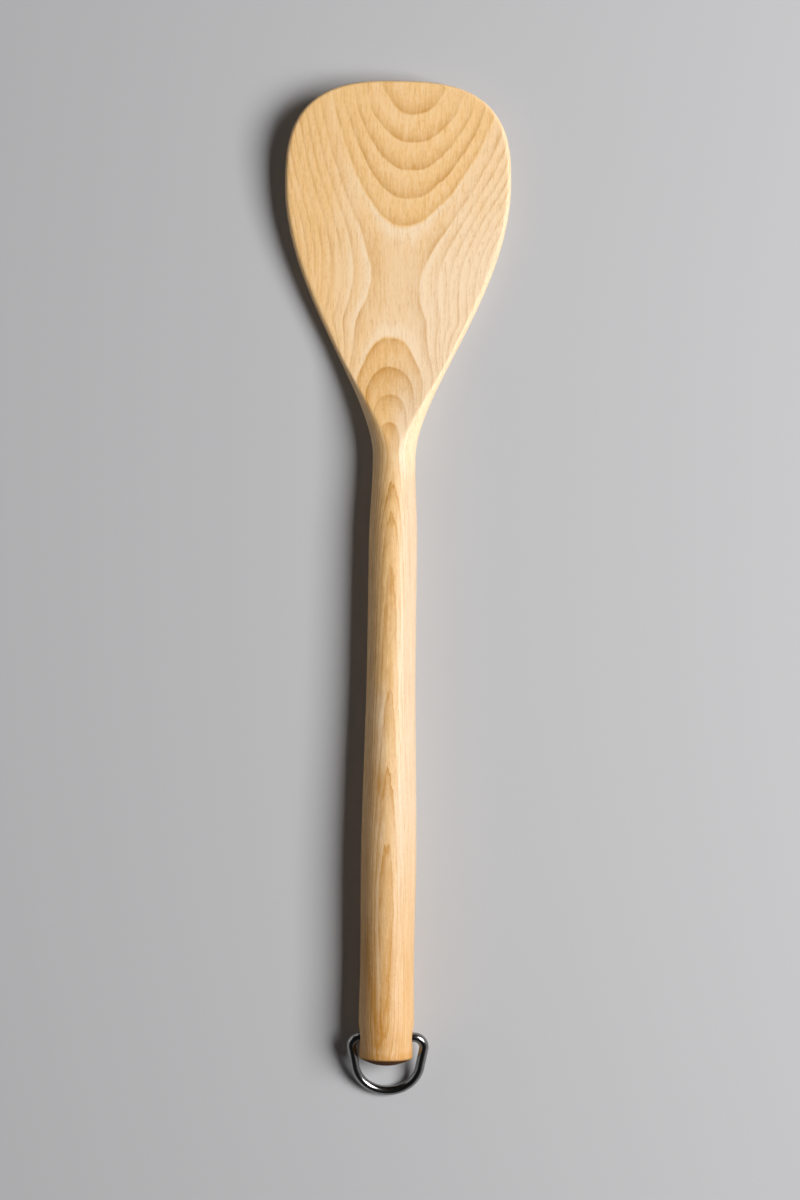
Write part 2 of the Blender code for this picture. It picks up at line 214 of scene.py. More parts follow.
def smooth_path(x, stations, values):
    """Cubic Hermite curve through the stations. Each tangent is the harmonic mean of the slopes beside it."""
    stations = np.array(stations)
    values = np.array(values)
    steps = np.diff(stations)
    slopes = np.diff(values) / steps
    tangents = np.zeros(len(values))
    before, after = slopes[:-1], slopes[1:]
    same_way = before * after > 0
    both = np.where(same_way, before + after, 1.0)
    tangents[1:-1] = np.where(same_way, 2.0 * before * after / both, 0.0)
    x = np.clip(x, stations[0], stations[-1])
    i = np.clip(np.searchsorted(stations, x) - 1, 0, len(steps) - 1)
    h = steps[i]
    t = (x - stations[i]) / h
    return (
        values[i] * (1 + 2 * t) * (1 - t) ** 2
        + values[i + 1] * t * t * (3 - 2 * t)
        + tangents[i] * h * t * (1 - t) ** 2
        - tangents[i + 1] * h * t * t * (1 - t)
    )


def bulge(distance, rounding):
    """Root of 1 - t squared, a quarter ellipse: t is 1 on the outline and 0 at the rounding's inner edge."""
    t = 1.0 - np.clip(distance / rounding, 0.0, 1.0)
    return np.sqrt(1.0 - t * t)


class BodyForm:
    """The wooden body's surfaces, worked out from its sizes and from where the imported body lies."""

    def __init__(self, sizes):
        self.sizes = sizes
        self.tip_y = BODY_BOX[1].y
        self.widest_y = self.tip_y - sizes.tip_length
        self.neck_y = self.widest_y - sizes.side_length
        self.butt_y = self.neck_y - sizes.handle_length
        self.swell_y = self.butt_y + sizes.swell_from_butt
        self.lift_y = self.tip_y - sizes.lift_length
        self.hole_y = self.butt_y + sizes.hole_from_butt
        self.axis_height = max(sizes.swell_radius, sizes.waist_radius, sizes.grip_radius, sizes.butt_radius)
        self.crest = sizes.neck_axis_height + sizes.neck_radius
        self.face_rise = sizes.tip_underside + sizes.tip_thickness - sizes.heel_thickness

    def lift(self, y):
        """t squared times (1 + softness) over (t + softness): t is 0 where the rise starts, 1 at the tip."""
        s = self.sizes
        t = np.clip((y - self.lift_y) / s.lift_length, 0.0, None)
        return t * t * (1.0 + s.lift_softness) / (t + s.lift_softness)

    def side_curve(self, y):
        """Half-width and slope from neck to widest line: a cubic Bezier curve that leaves both along Y."""
        s = self.sizes
        t = np.linspace(0.0, 1.0, 2000)
        along = (
            self.widest_y * (1 - t) ** 3
            + 3 * (self.widest_y - s.side_fullness) * t * (1 - t) ** 2
            + 3 * (self.neck_y + s.neck_fullness) * t * t * (1 - t)
            + self.neck_y * t**3
        )
        across = s.blade_half_width + (s.neck_radius - s.blade_half_width) * smoothstep(t)
        half_width = np.interp(y, along[::-1], across[::-1])
        slope = np.interp(y, along[::-1], np.gradient(across, along)[::-1])
        return half_width, slope

    def handle_radius(self, y):
        """Smooth path through the butt, grip, waist, swell, middle, shank and neck radii."""
        s = self.sizes
        stations = [
            self.butt_y,
            self.butt_y + s.grip_from_butt,
            self.butt_y + s.waist_from_butt,
            self.swell_y,
            self.neck_y - s.middle_from_neck,
            self.neck_y - s.shank_from_neck,
            self.neck_y,
        ]
        radii = [
            s.butt_radius,
            s.grip_radius,
            s.waist_radius,
            s.swell_radius,
            s.middle_radius,
            s.shank_radius,
            s.neck_radius,
        ]
        return smooth_path(y, stations, radii)

    def half_width_at(self, y):
        """Superellipse at the tip, the side curve along the blade and the handle's radius behind the neck."""
        s = self.sizes
        along_tip = np.clip((y - self.widest_y) / s.tip_length, 0.0, 1.0)
        tip = s.blade_half_width * (1.0 - along_tip**s.tip_squareness) ** (1.0 / s.tip_squareness)
        side, _ = self.side_curve(y)
        return np.where(y > self.widest_y, tip, np.where(y > self.neck_y, side, self.handle_radius(y)))

    def edge_distance(self, x, y, half_width):
        """Distance inside the outline: across, times the cosine of the side's slope.

        At the tip it is (1 - p) over the length of p's gradient, where p is the superellipse's own measure.
        """
        s = self.sizes
        _, slope = self.side_curve(y)
        slope = np.where((y > self.neck_y) & (y < self.widest_y), slope, 0.0)
        alongside = (half_width - np.abs(x)) / np.sqrt(1.0 + slope * slope)
        n = s.tip_squareness
        u = np.abs(x) / s.blade_half_width
        v = np.clip((y - self.widest_y) / s.tip_length, 0.0, 1.0)
        measure = np.maximum((u**n + v**n) ** (1.0 / n), 0.1)
        steepness = np.hypot(u ** (n - 1) / s.blade_half_width, v ** (n - 1) / s.tip_length)
        at_tip = (1.0 - measure) / np.maximum(measure ** (1 - n) * steepness, 1.0)
        return np.clip(np.where(y > self.widest_y, at_tip, alongside), 0.0, None)

    def edge_height(self, y):
        """Height of the widest line: the handle's axis, then down to the heel and up to the tip."""
        s = self.sizes
        towards_neck = smoothstep((y - self.swell_y) / (self.neck_y - self.swell_y))
        handle = self.axis_height + (s.neck_axis_height - self.axis_height) * towards_neck
        rise = s.tip_underside + s.tip_thickness - s.tip_edge_drop - s.heel_edge_height
        throat = smoothstep((y - self.neck_y) / s.throat_length)
        blade = s.neck_axis_height + (s.heel_edge_height - s.neck_axis_height) * throat + rise * self.lift(y)
        return np.where(y > self.neck_y, blade, handle)

    def face_height(self, y):
        """Height of the flat face: the crest, less a smooth step down to the heel, plus the lift."""
        s = self.sizes
        throat = smoothstep((y - self.neck_y) / s.throat_length)
        blade = self.crest + (s.heel_thickness - self.crest) * throat + self.face_rise * self.lift(y)
        return np.where(y > self.neck_y, blade, self.edge_height(y) + self.handle_radius(y))

    def underside_height(self, y):
        """Height of the lowest line: the handle's belly, the heel on the table, then the rise to the tip."""
        s = self.sizes
        belly = s.neck_axis_height - s.neck_radius
        blade = belly * (1.0 - smoothstep((y - self.neck_y) / s.heel_start)) + s.tip_underside * self.lift(y)
        return np.where(y > self.neck_y, blade, self.edge_height(y) - self.handle_radius(y))

    def heights(self, x, y, half_width):
        """Upper and lower surface: each leaves the widest line along a quarter ellipse and then runs level.

        Above, a smooth minimum joins the round shoulder to the flat face, which makes the neck's crease.
        """
        s = self.sizes
        inside = self.edge_distance(x, y, half_width)
        edge = self.edge_height(y)
        face = self.face_height(y)
        blade = y > self.neck_y
        round_part = 1.0 - smoothstep((y - self.neck_y - s.shoulder_delay) / s.throat_length)
        shoulder = np.where(blade, s.rim_radius + (s.neck_radius - s.rim_radius) * round_part, half_width)
        shoulder = np.maximum(shoulder, 1e-6)
        round_top = edge + np.maximum(shoulder, face - edge) * bulge(inside, shoulder)
        upper = np.where(blade, smooth_min(face, round_top, s.crease_softness), round_top)
        keel_blade = s.keel_rounding_heel + (s.keel_rounding_tip - s.keel_rounding_heel) * self.lift(y)
        spread = smoothstep((y - self.neck_y) / s.heel_start)
        keel = np.where(blade, s.neck_radius + (keel_blade - s.neck_radius) * spread, half_width)
        lower = edge - (edge - self.underside_height(y)) * bulge(inside, np.maximum(keel, 1e-6))
        return np.maximum(upper, edge), np.minimum(lower, edge)

    def loops(self, half_columns=96, tip_rows=70, blade_step=0.9 * MM, handle_step=1.5 * MM, dome_rows=16):
        """Closed sections from tip to dome, as an array (rows, columns, xyz).

        Across, x runs as the sine of an even angle. Tip rows are even steps of the tip's own angle, and
        the dome's rows shrink the last section along a circle's arc.
        """
        s = self.sizes
        quarter = np.linspace(np.pi / 2, 0.0, tip_rows + 1)[1:]
        tip = self.widest_y + s.tip_length * np.sin(quarter) ** (2.0 / s.tip_squareness)
        blade = np.linspace(self.widest_y, self.neck_y, round(s.side_length / blade_step) + 1)[1:]
        handle = np.linspace(self.neck_y, self.butt_y, round(s.handle_length / handle_step) + 1)[1:]
        y = np.concatenate([tip, blade, handle])[:, None]
        angle = np.linspace(-np.pi / 2, np.pi / 2, half_columns + 1)
        half_width = self.half_width_at(y)
        x = half_width * np.sin(angle)
        upper, lower = self.heights(x, y, half_width)
        along = np.broadcast_to(y, x.shape)
        body = np.concatenate(
            [np.stack([x, along, upper], axis=2), np.stack([x, along, lower], axis=2)[:, -2:0:-1]], axis=1
        )
        dome_radius = (s.butt_radius**2 + s.butt_dome_rise**2) / (2 * s.butt_dome_rise)
        rim = np.arcsin(s.butt_radius / dome_radius)
        polar = np.linspace(rim, 0.0, dome_rows + 1)[1:-1]
        scale = (dome_radius * np.sin(polar) / s.butt_radius)[:, None]
        back = (dome_radius * (np.cos(polar) - np.cos(rim)))[:, None]
        last = body[-1][None]
        dome = np.stack(
            [
                last[:, :, 0] * scale,
                self.butt_y - back + 0 * last[:, :, 0],
                self.axis_height + (last[:, :, 2] - self.axis_height) * scale,
            ],
            axis=2,
        )
        return np.concatenate([body, dome])

    def hole_loops(self, sides=64):
        """Circles along X through the grip: a straight bore that flares out at both mouths."""
        s = self.sizes
        reach = s.grip_radius + s.countersink_width
        mouth = np.sqrt(s.grip_radius**2 - (s.hole_radius + s.countersink_width) ** 2)
        wide = s.hole_radius + s.countersink_width * (1 + (reach - mouth) / s.countersink_depth)
        place = np.array([-reach, -mouth + s.countersink_depth, mouth - s.countersink_depth, reach])[:, None]
        radius = np.array([wide, s.hole_radius, s.hole_radius, wide])[:, None]
        angle = np.arange(sides) * 2 * np.pi / sides
        return np.stack(
            [
                place + 0 * angle,
                self.hole_y + radius * np.sin(angle),
                self.axis_height + radius * np.cos(angle),
            ],
            axis=2,
        )


def closed_mesh(name, loops, first_point, last_point):
    """A mesh over a stack of loops: a quad between neighbours, and a fan to one point at each end."""
    rows, columns, _ = loops.shape
    points = np.concatenate([loops.reshape(-1, 3), [first_point, last_point]])
    index = np.arange(rows * columns).reshape(rows, columns)
    following = np.roll(index, -1, axis=1)
    quads = np.stack([index[:-1], index[1:], following[1:], following[:-1]], axis=2).reshape(-1, 4)
    first = np.full(columns, rows * columns)
    fans = np.concatenate(
        [
            np.stack([first, index[0], following[0]], axis=1),
            np.stack([first + 1, following[-1], index[-1]], axis=1),
        ]
    )
    mesh = bpy.data.meshes.new(name)
    mesh.from_pydata(points.tolist(), [], quads.tolist() + fans.tolist())
    mesh.validate()
    return mesh


def finish_mesh(mesh, material):
    """Gives a mesh its material, and shades it smooth but for sharp edges."""
    mesh.materials.clear()
    mesh.materials.append(material)
    mesh.shade_smooth()
    mesh.set_sharp_from_angle(angle=SMOOTH_ANGLE)


def add_piece(name, mesh, node, body):
    """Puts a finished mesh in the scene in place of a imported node, riding on that node's body."""
    piece = bpy.data.objects.new(name, mesh)
    bpy.context.scene.collection.objects.link(piece)
    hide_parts(node)
    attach(piece, body)
    return piece


def cut(mesh, cutter_mesh):
    """A copy of a mesh less the cutter's inside, by an exact Boolean that is then applied."""
    solid = bpy.data.objects.new("uncut", mesh)
    cutter = bpy.data.objects.new("cutter", cutter_mesh)
    for obj in (solid, cutter):
        bpy.context.scene.collection.objects.link(obj)
    modifier = solid.modifiers.new("cut", "BOOLEAN")
    modifier.operation = "DIFFERENCE"
    modifier.solver = "EXACT"
    modifier.object = cutter
    result = bpy.data.meshes.new_from_object(solid.evaluated_get(bpy.context.evaluated_depsgraph_get()))
    for obj in (solid, cutter):
        bpy.data.objects.remove(obj)
    return result


def arc(centre, radius, start, end, step=np.radians(2.0)):
    """Points at even angles on a circle, from angle start to end."""
    angle = np.linspace(start, end, max(2, int(np.ceil(abs(end - start) / step))) + 1)
    return np.stack([centre[0] + radius * np.cos(angle), centre[1] + radius * np.sin(angle)], axis=1)


def ring_loops(sizes, wire_sides=40):
    """The wire's sections along the ring, in the ring's own plane, as (sections, sides, xyz).

    Half the path is the straight bar, the shoulder's arc and the bow's arc, joined by the straight leg that
    touches both circles. The other half is its mirror. Each section is a circle square to the path.
    """
    r = sizes.wire_radius
    shoulder = np.array([sizes.half_width - r - sizes.shoulder_radius, sizes.shoulder_radius])
    bow = np.array([0.0, sizes.reach - sizes.bow_radius])
    across, along = bow - shoulder
    inset = sizes.shoulder_radius - sizes.bow_radius
    lean = np.arctan2(along, across) - np.arccos(inset / np.hypot(across, along))
    half = np.concatenate(
        [
            [[sizes.end_gap / 2, 0.0]],
            arc(shoulder, sizes.shoulder_radius, -np.pi / 2, lean),
            arc(bow, sizes.bow_radius, lean, np.pi / 2),
        ]
    )
    path = np.concatenate([half, half[-2::-1] * [-1.0, 1.0]])
    tangent = np.gradient(path, axis=0)
    tangent /= np.linalg.norm(tangent, axis=1, keepdims=True)
    tangent[[0, -1]] = (1.0, 0.0)
    sideways = np.stack([tangent[:, 1], -tangent[:, 0]], axis=1)
    angle = np.arange(wire_sides) * 2 * np.pi / wire_sides
    flat = path[:, None] + r * np.cos(angle)[None, :, None] * sideways[:, None]
    height = np.broadcast_to(-r * np.sin(angle), flat.shape[:2])
    loops = np.stack([flat[:, :, 0], -flat[:, :, 1], height], axis=2)
    return loops, [(path[0, 0], -path[0, 1], 0.0), (path[-1, 0], -path[-1, 1], 0.0)]


class Num:
    """A number worked out in a shader. Arithmetic on it adds Math nodes."""

    def __init__(self, graph, socket):
        self.graph = graph
        self.socket = socket

    def maths(self, operation, *others):
        """The number that a Math node makes of this one and the others."""
        node = self.graph.node("ShaderNodeMath", {"operation": operation}, [self, *others])
        return Num(self.graph, node.outputs[0])

    def __add__(self, other):
        return self.maths("ADD", other)

    __radd__ = __add__

    def __mul__(self, other):
        return self.maths("MULTIPLY", other)

    __rmul__ = __mul__

    def __sub__(self, other):
        return self.maths("SUBTRACT", other)

    def __rsub__(self, other):
        return self * -1.0 + other

    def __truediv__(self, other):
        return self.maths("DIVIDE", other)

    def __rtruediv__(self, other):
        node = self.graph.node("ShaderNodeMath", {"operation": "DIVIDE"}, [other, self])
        return Num(self.graph, node.outputs[0])

    def __pow__(self, other):
        return self.maths("POWER", other)

    def floor(self):
        return self.maths("FLOOR")

    def fract(self):
        """What is left of the number above its floor."""
        return self.maths("FRACT")

    def sqrt(self):
        return self.maths("SQRT")

    def least(self, other):
        """This number or the other, whichever is less."""
        return self.maths("MINIMUM", other)

    def most(self, other):
        """This number or the other, whichever is more."""
        return self.maths("MAXIMUM", other)

    def step(self, start, end, low=0.0, high=1.0):
        """Smoothly from low at start to high at end."""
        settings = {"interpolation_type": "SMOOTHSTEP"}
        node = self.graph.node("ShaderNodeMapRange", settings, [self, start, end, low, high])
        return Num(self.graph, node.outputs[0])

    def past(self, place, softness):
        """How far the number is past a place, and 0 before it, with a soft turn."""
        t = self - place
        return (t + (t * t + softness**2).sqrt()) * 0.5

    def hump(self, centre, width):
        """A bell of height 1 at centre: one over one plus the square of the distance in widths, squared."""
        t = (self - centre) / width
        return 1.0 / ((t * t + 1.0) * (t * t + 1.0))


class Graph:
    """A node tree that is built from expressions."""

    def __init__(self, tree):
        self.tree = tree
        tree.nodes.clear()

    def node(self, kind, settings=None, values=()):
        """Adds a node: its settings first, then its sockets' values or links, by place or by name."""
        node = self.tree.nodes.new(kind)
        for key, value in (settings or {}).items():
            setattr(node, key, value)
        pairs = values.items() if isinstance(values, dict) else enumerate(values)
        for key, value in pairs:
            socket = node.inputs[key]
            source = value.socket if isinstance(value, Num) else value
            if isinstance(source, bpy.types.NodeSocket):
                self.tree.links.new(source, socket)
            elif hasattr(source, "__len__") and socket.type == "RGBA":
                socket.default_value = (*source[:3], 1.0)
            else:
                socket.default_value = source
        return node

    def place(self):
        """The object's own coordinates as three numbers in millimetres."""
        source = self.node("ShaderNodeTexCoord").outputs["Object"]
        parts = self.node("ShaderNodeSeparateXYZ", values=[source]).outputs
        return [Num(self, part) / MM for part in parts]

    def vector(self, x, y, z):
        """Three numbers as one vector."""
        return self.node("ShaderNodeCombineXYZ", values=[x, y, z]).outputs[0]

    def noise(self, vector, detail=2.0, roughness=0.5):
        """Smooth noise about 0, from roughly -0.5 to 0.5, with one cell for each whole step of the vector."""
        values = {"Vector": vector, "Scale": 1.0, "Detail": detail, "Roughness": roughness}
        return Num(self, self.node("ShaderNodeTexNoise", values=values).outputs[0]) - 0.5

    def chance(self, number):
        """A random value from 0 to 1 that stays the same for the same number."""
        node = self.node("ShaderNodeTexWhiteNoise", {"noise_dimensions": "1D"}, {"W": number})
        return Num(self, node.outputs[0])

    def blend(self, amount, a, b):
        """Colour a turned towards colour b by amount."""
        return self.node("ShaderNodeMix", {"data_type": "RGBA"}, {0: amount, 6: a, 7: b}).outputs[2]

    def seen(self):
        """1 where the camera, metal or glass looks at a surface, and 0 where the surface lights another."""
        rays = self.node("ShaderNodeLightPath").outputs
        looks = Num(self, rays["Is Camera Ray"]) + Num(self, rays["Is Glossy Ray"])
        return (looks + Num(self, rays["Is Transmission Ray"])).least(1.0)

    def bump(self, height, strength):
        """A normal from a height in millimetres."""
        node = self.node("ShaderNodeBump", values={"Strength": strength, "Distance": MM, "Height": height})
        return node.outputs[0]

    def finish(self, kind, shader):
        """Joins a shader to the tree's output, which is a node of this kind."""
        output = self.node(kind)
        self.tree.links.new(shader.outputs[0], output.inputs["Surface"])


def new_material(name):
    """An empty material, and the graph of its nodes."""
    material = bpy.data.materials.new(name)
    material.use_nodes = True
    return material, Graph(material.node_tree)


def carved_top(y, form):
    """Height of the carved surface along the middle: the face, and the crest and swell behind the neck."""
    s = form.sizes
    neck = form.neck_y / MM
    throat = y.step(neck, neck + s.throat_length / MM)
    t = ((y - form.lift_y / MM) / (s.lift_length / MM)).most(0.0)
    lift = t * t * (1.0 + s.lift_softness) / (t + s.lift_softness)
    swell_top = (form.axis_height + s.swell_radius) / MM
    crest = form.crest / MM
    behind = y.step(form.swell_y / MM, neck, swell_top - crest, 0.0)
    return behind + crest + (s.heel_thickness / MM - crest) * throat + form.face_rise / MM * lift


def run_out_of_face(y):
    """How far the years' layers have run out of the top face: 0 at the saddle, and more towards both ends.

    It is a hyperbola about the saddle, whose slope then changes softly at a few places. That sets how far
    apart the arcs stand at the tip, the arches in the neck and the pointed flames along the handle.
    """
    from_saddle = y - SADDLE
    back = 0.0 - y
    run_out = 0.0955 * ((from_saddle * from_saddle + 13.8**2).sqrt() - 13.8)
    run_out = run_out + y.step(117.0, 127.0, 0.0, 0.11) - 0.045 * y.past(152.0, 2.0)
    run_out = run_out - 0.0665 * back.past(-51.5, 2.0) + 0.0085 * back.past(-36.1, 2.0)
    run_out = run_out + 0.0141 * back.past(-26.0, 3.0) - 0.0102 * back.past(-10.0, 4.0)
    return run_out - 0.0114 * back.past(27.0, 4.0) - 0.0460 * back.past(104.0, 8.0)


class WoodFigure:
    """Where a point of the wood lies among the years' growth, which wood shows there, and where light and
    shade are painted into its colour.

    All of it is worked out from Object coordinates in millimetres. A share is 0 where its wood doesn't show
    and 1 where it shows in full.
    """

    def __init__(self, g, look, form):
        self.g = g
        self.x, self.y, self.z = g.place()
        self.butt = form.butt_y / MM
        neck = form.neck_y / MM
        self.handle = self.y.step(neck + 4.0, neck - 12.0)
        self.below_face = carved_top(self.y, form) - self.z
        self.ripple = self.noise(0.17, 0.045, detail=3.0)
        self.curl = self.noise(0.7, 0.16, detail=3.0, roughness=0.6)
        self.broad = self.noise(0.11, 0.02)

        year_width = look.ring_width / MM
        pale_radius = PALE_RING * year_width
        self.radius, self.steep = self.distance_from_pith(pale_radius)
        self.outside = self.radius.step(pale_radius - 0.05, pale_radius + 0.12)
        year = (self.radius - 0.42 * self.radius.step(pale_radius, pale_radius + 1.2)) / year_width
        self.turn = year.fract()
        self.strength = g.chance(year.floor())
        self.fibre = self.noise(1.5, 0.045, 2.6, detail=3.0, roughness=0.65)
        self.bundle = self.noise(0.6, 0.022, 1.1)

    def noise(self, across, along, outward=None, detail=2.0, roughness=0.5):
        """Noise stretched along the grain, in cells per millimetre. With outward it follows the layers."""
        third = self.z * across if outward is None else self.radius * outward
        return self.g.noise(self.g.vector(self.x * across, self.y * along, third), detail, roughness)

    def distance_from_pith(self, pale_radius):
        """Distance from the pith, which lies above the face, and how much longer it is than its depth.

        It is the root of depth squared plus the squared distance across. That is flattened near the middle,
        for blunt arcs, and squeezed or spread along the body.
        """
        y = self.y
        across = self.x - y.step(79.0, 150.0, -1.9, 5.0) - self.noise(0.035, 0.012) * 2.0
        square = across * across
        waver = self.ripple * square.step(9.0, 120.0, 0.1, 0.32) + self.curl * self.handle * 0.55
        depth = self.below_face + (pale_radius + 0.78) - run_out_of_face(y) + waver
        squeeze = y.step(48.0, 70.0, 1.6, 0.0) + y.step(72.0, 88.0, 1.45, 0.70)
        squeeze = squeeze - y.step(100.0, 140.0, 0.0, 0.18)
        flat = y.step(96.0, 150.0, 3.0, 4.5) + y.step(84.0, 72.0, 0.0, 4.0) - y.step(68.0, 50.0, 0.0, 5.0)
        flat = flat * flat
        radius = (square * (square + flat * 0.8) / (square + flat * 1.6) * squeeze + depth * depth).sqrt()
        return radius, radius - depth

    def late_wood(self):
        """Share of dark late wood: the cube of how far the year has gone, with a sharp end.

        It is fainter about the saddle, under the tip's last arcs, at the tip's edge and in the neck.
        """
        y = self.y
        late = (self.turn**3.0) * self.turn.step(self.steep.step(0.3, 2.6, 0.92, 0.80), 1.0, 1.0, 0.0)
        patchy = self.noise(0.25, 0.05, 0.5)
        late = late * (self.strength * 0.4 + 0.7 + patchy * 1.6) * self.steep.step(0.1, 2.6, 1.2, 0.95)
        late = late * (1.0 - y.hump(98.5, 13.0) * 0.65) * (1.0 - y.hump(122.0, 11.0) * 0.45)
        return late * y.step(149.0, 157.0, 1.0, 0.4) * (1.0 - y.hump(NECK_ARCHES, 20.0) * 0.25)

    def painted_lit_side(self):
        """Share of painted light on the side that faces the key lamp, from the blade's throat down the
        handle.
        """
        lit_side = (self.x + self.broad * 4.0 + self.y.step(30.0, 44.0, 0.0, 2.0)).step(-1.0, 5.0)
        return lit_side * self.y.step(84.0, 44.0) * self.y.step(-60.0, -150.0, 1.0, 0.5)

    def blade_paleness_and_light(self, lit_side):
        """Share of pale wood on the blade: a field in its middle and early wood, with painted light on the
        side that faces the key lamp and a painted highlight on that side's rim.
        """
        x, y = self.x, self.y
        on_edge = self.steep.step(0.2, 2.2)
        early = self.turn.step(0.0, 0.5, 1.0, 0.0) * (1.0 - on_edge)
        early = early + on_edge * x.step(-27.0, -10.0, 0.0, 0.4)
        field = y.hump(92.0, 46.0) * (x.step(-25.0, -13.0, 0.05, 0.68) + x.step(-8.0, 3.0, 0.0, 0.5))
        # Painted light: a paler patch on the blade's lit side.
        painted_sunlit_patch = (x - y.step(150.0, 60.0, 26.0, 6.0)).step(-8.0, 6.0) * y.step(112.0, 85.0, 0.08, 0.5)
        paleness_and_light = self.outside * (field * 0.6 + early * 0.6) + early * 0.12 + painted_sunlit_patch
        paleness_and_light = paleness_and_light + self.broad * 0.3 + self.bundle * 0.7
        # The lit side's painted light runs on into the throat; inside the arches the wood is a little darker.
        throat = lit_side * 1.1 - y.hump(60.0, 22.0) * (1.0 - self.outside) * 0.1
        below = self.below_face
        # Painted highlight along the upper rim, on the lit side only.
        rim = below.step(0.05, 0.7) * below.step(2.2, 3.4, 1.0, 0.0) * x.step(-6.0, 6.0)
        return ((paleness_and_light + throat + rim) * (1.0 - self.handle)).most(0.0).least(1.0)

    def painted_light_band(self):
        """Share of painted light: a pale band along the left of the handle's lower half, which brightens the
        side that turns away from the key lamp.
        """
        return (self.x + 3.0).hump(0.0, 2.6) * self.y.step(-26.0, -36.0, 0.0, 0.85)

    def honey_wood(self):
        """Share of honey wood on the handle: a broken stripe, a flame midway, and more towards the butt."""
        x, y = self.x, self.y
        sideways = x - y.step(40.0, -100.0, -2.0, -4.6) + self.ripple * 3.0 + self.curl * 3.0
        stripe = sideways.step(-7.0, -1.5) * sideways.step(4.6, 2.4) * y.step(39.0, 34.0)
        stripe = stripe * y.step(-27.0, -36.0, 1.0, 0.65) * y.step(-66.0, -78.0, 1.0, 0.6)
        flame = (sideways - 0.6).hump(0.0, 2.4) * y.hump(-60.0, 7.0)
        stripe = stripe * (0.38 + self.broad * 1.6 + self.curl * 2.4) + flame * 0.7
        lower = (y + x.step(-4.0, 2.0, 0.0, 25.0)).step(-35.0, -95.0) * x.step(-6.5, -3.0, 1.3, 1.0)
        lower = lower * (0.85 + self.broad * 1.2 + self.bundle * 0.8) * x.step(-3.0, 1.0, 1.0, 1.15)
        return (self.handle * (stripe * 0.66 + lower * 0.5)).most(0.0).least(1.0)

    def stains(self, late, lit_side):
        """Share of brown: late wood, fainter on the lit side as painted highlight, two long stains at the
        butt, the butt's edge and inside the arches.
        """
        x, y, butt = self.x, self.y, self.butt
        flank = (x - y.step(-112.0, -146.0, -6.2, -2.6) + self.curl).hump(0.0, 2.4) * 0.85
        vein = (x - y.step(-118.0, -146.0, 1.4, -2.0) + self.curl).hump(0.0, 0.9) * 0.3
        flank = (flank + vein) * y.step(-96.0, -118.0)
        near_butt = y.step(butt + 14.0, butt + 3.0, 0.0, 0.22) + y.step(butt + 3.0, butt + 1.2, 0.0, 0.4)
        arches = (1.0 - self.outside) * y.hump(NECK_ARCHES, 16.0) * (1.0 - self.handle) * 0.2
        # Late wood is fainter on the lit side: painted highlight.
        stain = flank * y.step(butt + 2.0, butt + 6.0) + near_butt + arches + late * (0.95 - lit_side * 0.6)
        return stain.most(0.0).least(1.0)

    def streaks(self):
        """Fine light and dark lines along the grain, about 0."""
        comb = self.noise(5.5, 0.16)
        fleck = self.noise(1.6, 0.7, detail=3.0, roughness=0.7)
        return self.fibre * 1.35 + comb * 0.75 + fleck * 0.6

    def pores(self):
        """Share of the short dark pores."""
        return self.noise(4.5, 0.32, detail=1.0).step(0.15, 0.26) * (self.strength * 0.4 + 0.5)

    def end_grain_and_shade(self):
        """Share of the butt's dark end grain, with a ragged edge; its near-black colour is partly painted
        shade on the dome.
        """
        return (self.y + self.fibre * 0.4).step(self.butt + 1.0, self.butt - 0.4)


def make_wood(look, form):
    """Growth rings about a pith above the blade, cut by the carved surface, with fibres, pores and stains,
    and painted light and shade on the lit side, the handle's left and the butt.
    """
    material, g = new_material("oiled wood")
    figure = WoodFigure(g, look, form)
    late = figure.late_wood()
    lit_side = figure.painted_lit_side()
    streak = figure.streaks()
    pores = figure.pores()
    end_grain_and_shade = figure.end_grain_and_shade()
    wood = g.blend(figure.blade_paleness_and_light(lit_side), look.wood, look.pale_and_painted_light)
    # Painted light on the handle's shaded left side.
    wood = g.blend(figure.painted_light_band(), wood, look.pale_and_painted_light)
    # Painted highlight: the handle's lit side turns paler and greyer.
    wood = g.blend(lit_side * figure.handle * 0.9, wood, look.painted_highlight_wood)
    wood = g.blend(figure.honey_wood(), wood, look.honey)
    wood = g.blend(figure.stains(late, lit_side), wood, look.late)
    wood = g.blend(streak.most(0.0), wood, look.late)
    wood = g.blend((streak * -1.0).most(0.0), wood, look.pale_and_painted_light)
    wood = g.blend(pores * 0.35, wood, look.pore)
    # The end grain's colour, darkened as painted shade on the butt's dome.
    wood = g.blend(end_grain_and_shade * end_grain_and_shade, wood, look.end)
    relief = figure.fibre * 0.05 - pores * 0.03 - late * 0.01
    shader = g.node(
        "ShaderNodeBsdfPrincipled",
        values={
            "Base Color": wood,
            "Roughness": look.roughness + figure.fibre * 0.12 + pores * 0.15 + end_grain_and_shade * 0.5,
            "Specular IOR Level": 0.32,
            "Normal": g.bump(relief, 0.6),
        },
    )
    g.finish("ShaderNodeOutputMaterial", shader)
    return material


def make_steel(look):
    """Polished wire with faint cloudy rub marks."""
    material, g = new_material("polished steel")
    x, y, z = g.place()
    rub = g.noise(g.vector(x * 0.9, y * 0.9, z * 0.9), detail=3.0, roughness=0.6)
    scratch = g.noise(g.vector(x * 6.0, y * 6.0, z * 6.0))
    steel = g.blend((rub * 0.8).most(0.0), look.steel, look.rubbed)
    shader = g.node(
        "ShaderNodeBsdfPrincipled",
        values={
            "Base Color": steel,
            "Metallic": 1.0,
            "Roughness": look.roughness + rub * 0.06,
            "Normal": g.bump(scratch * 0.004, 0.5),
        },
    )
    g.finish("ShaderNodeOutputMaterial", shader)
    return material


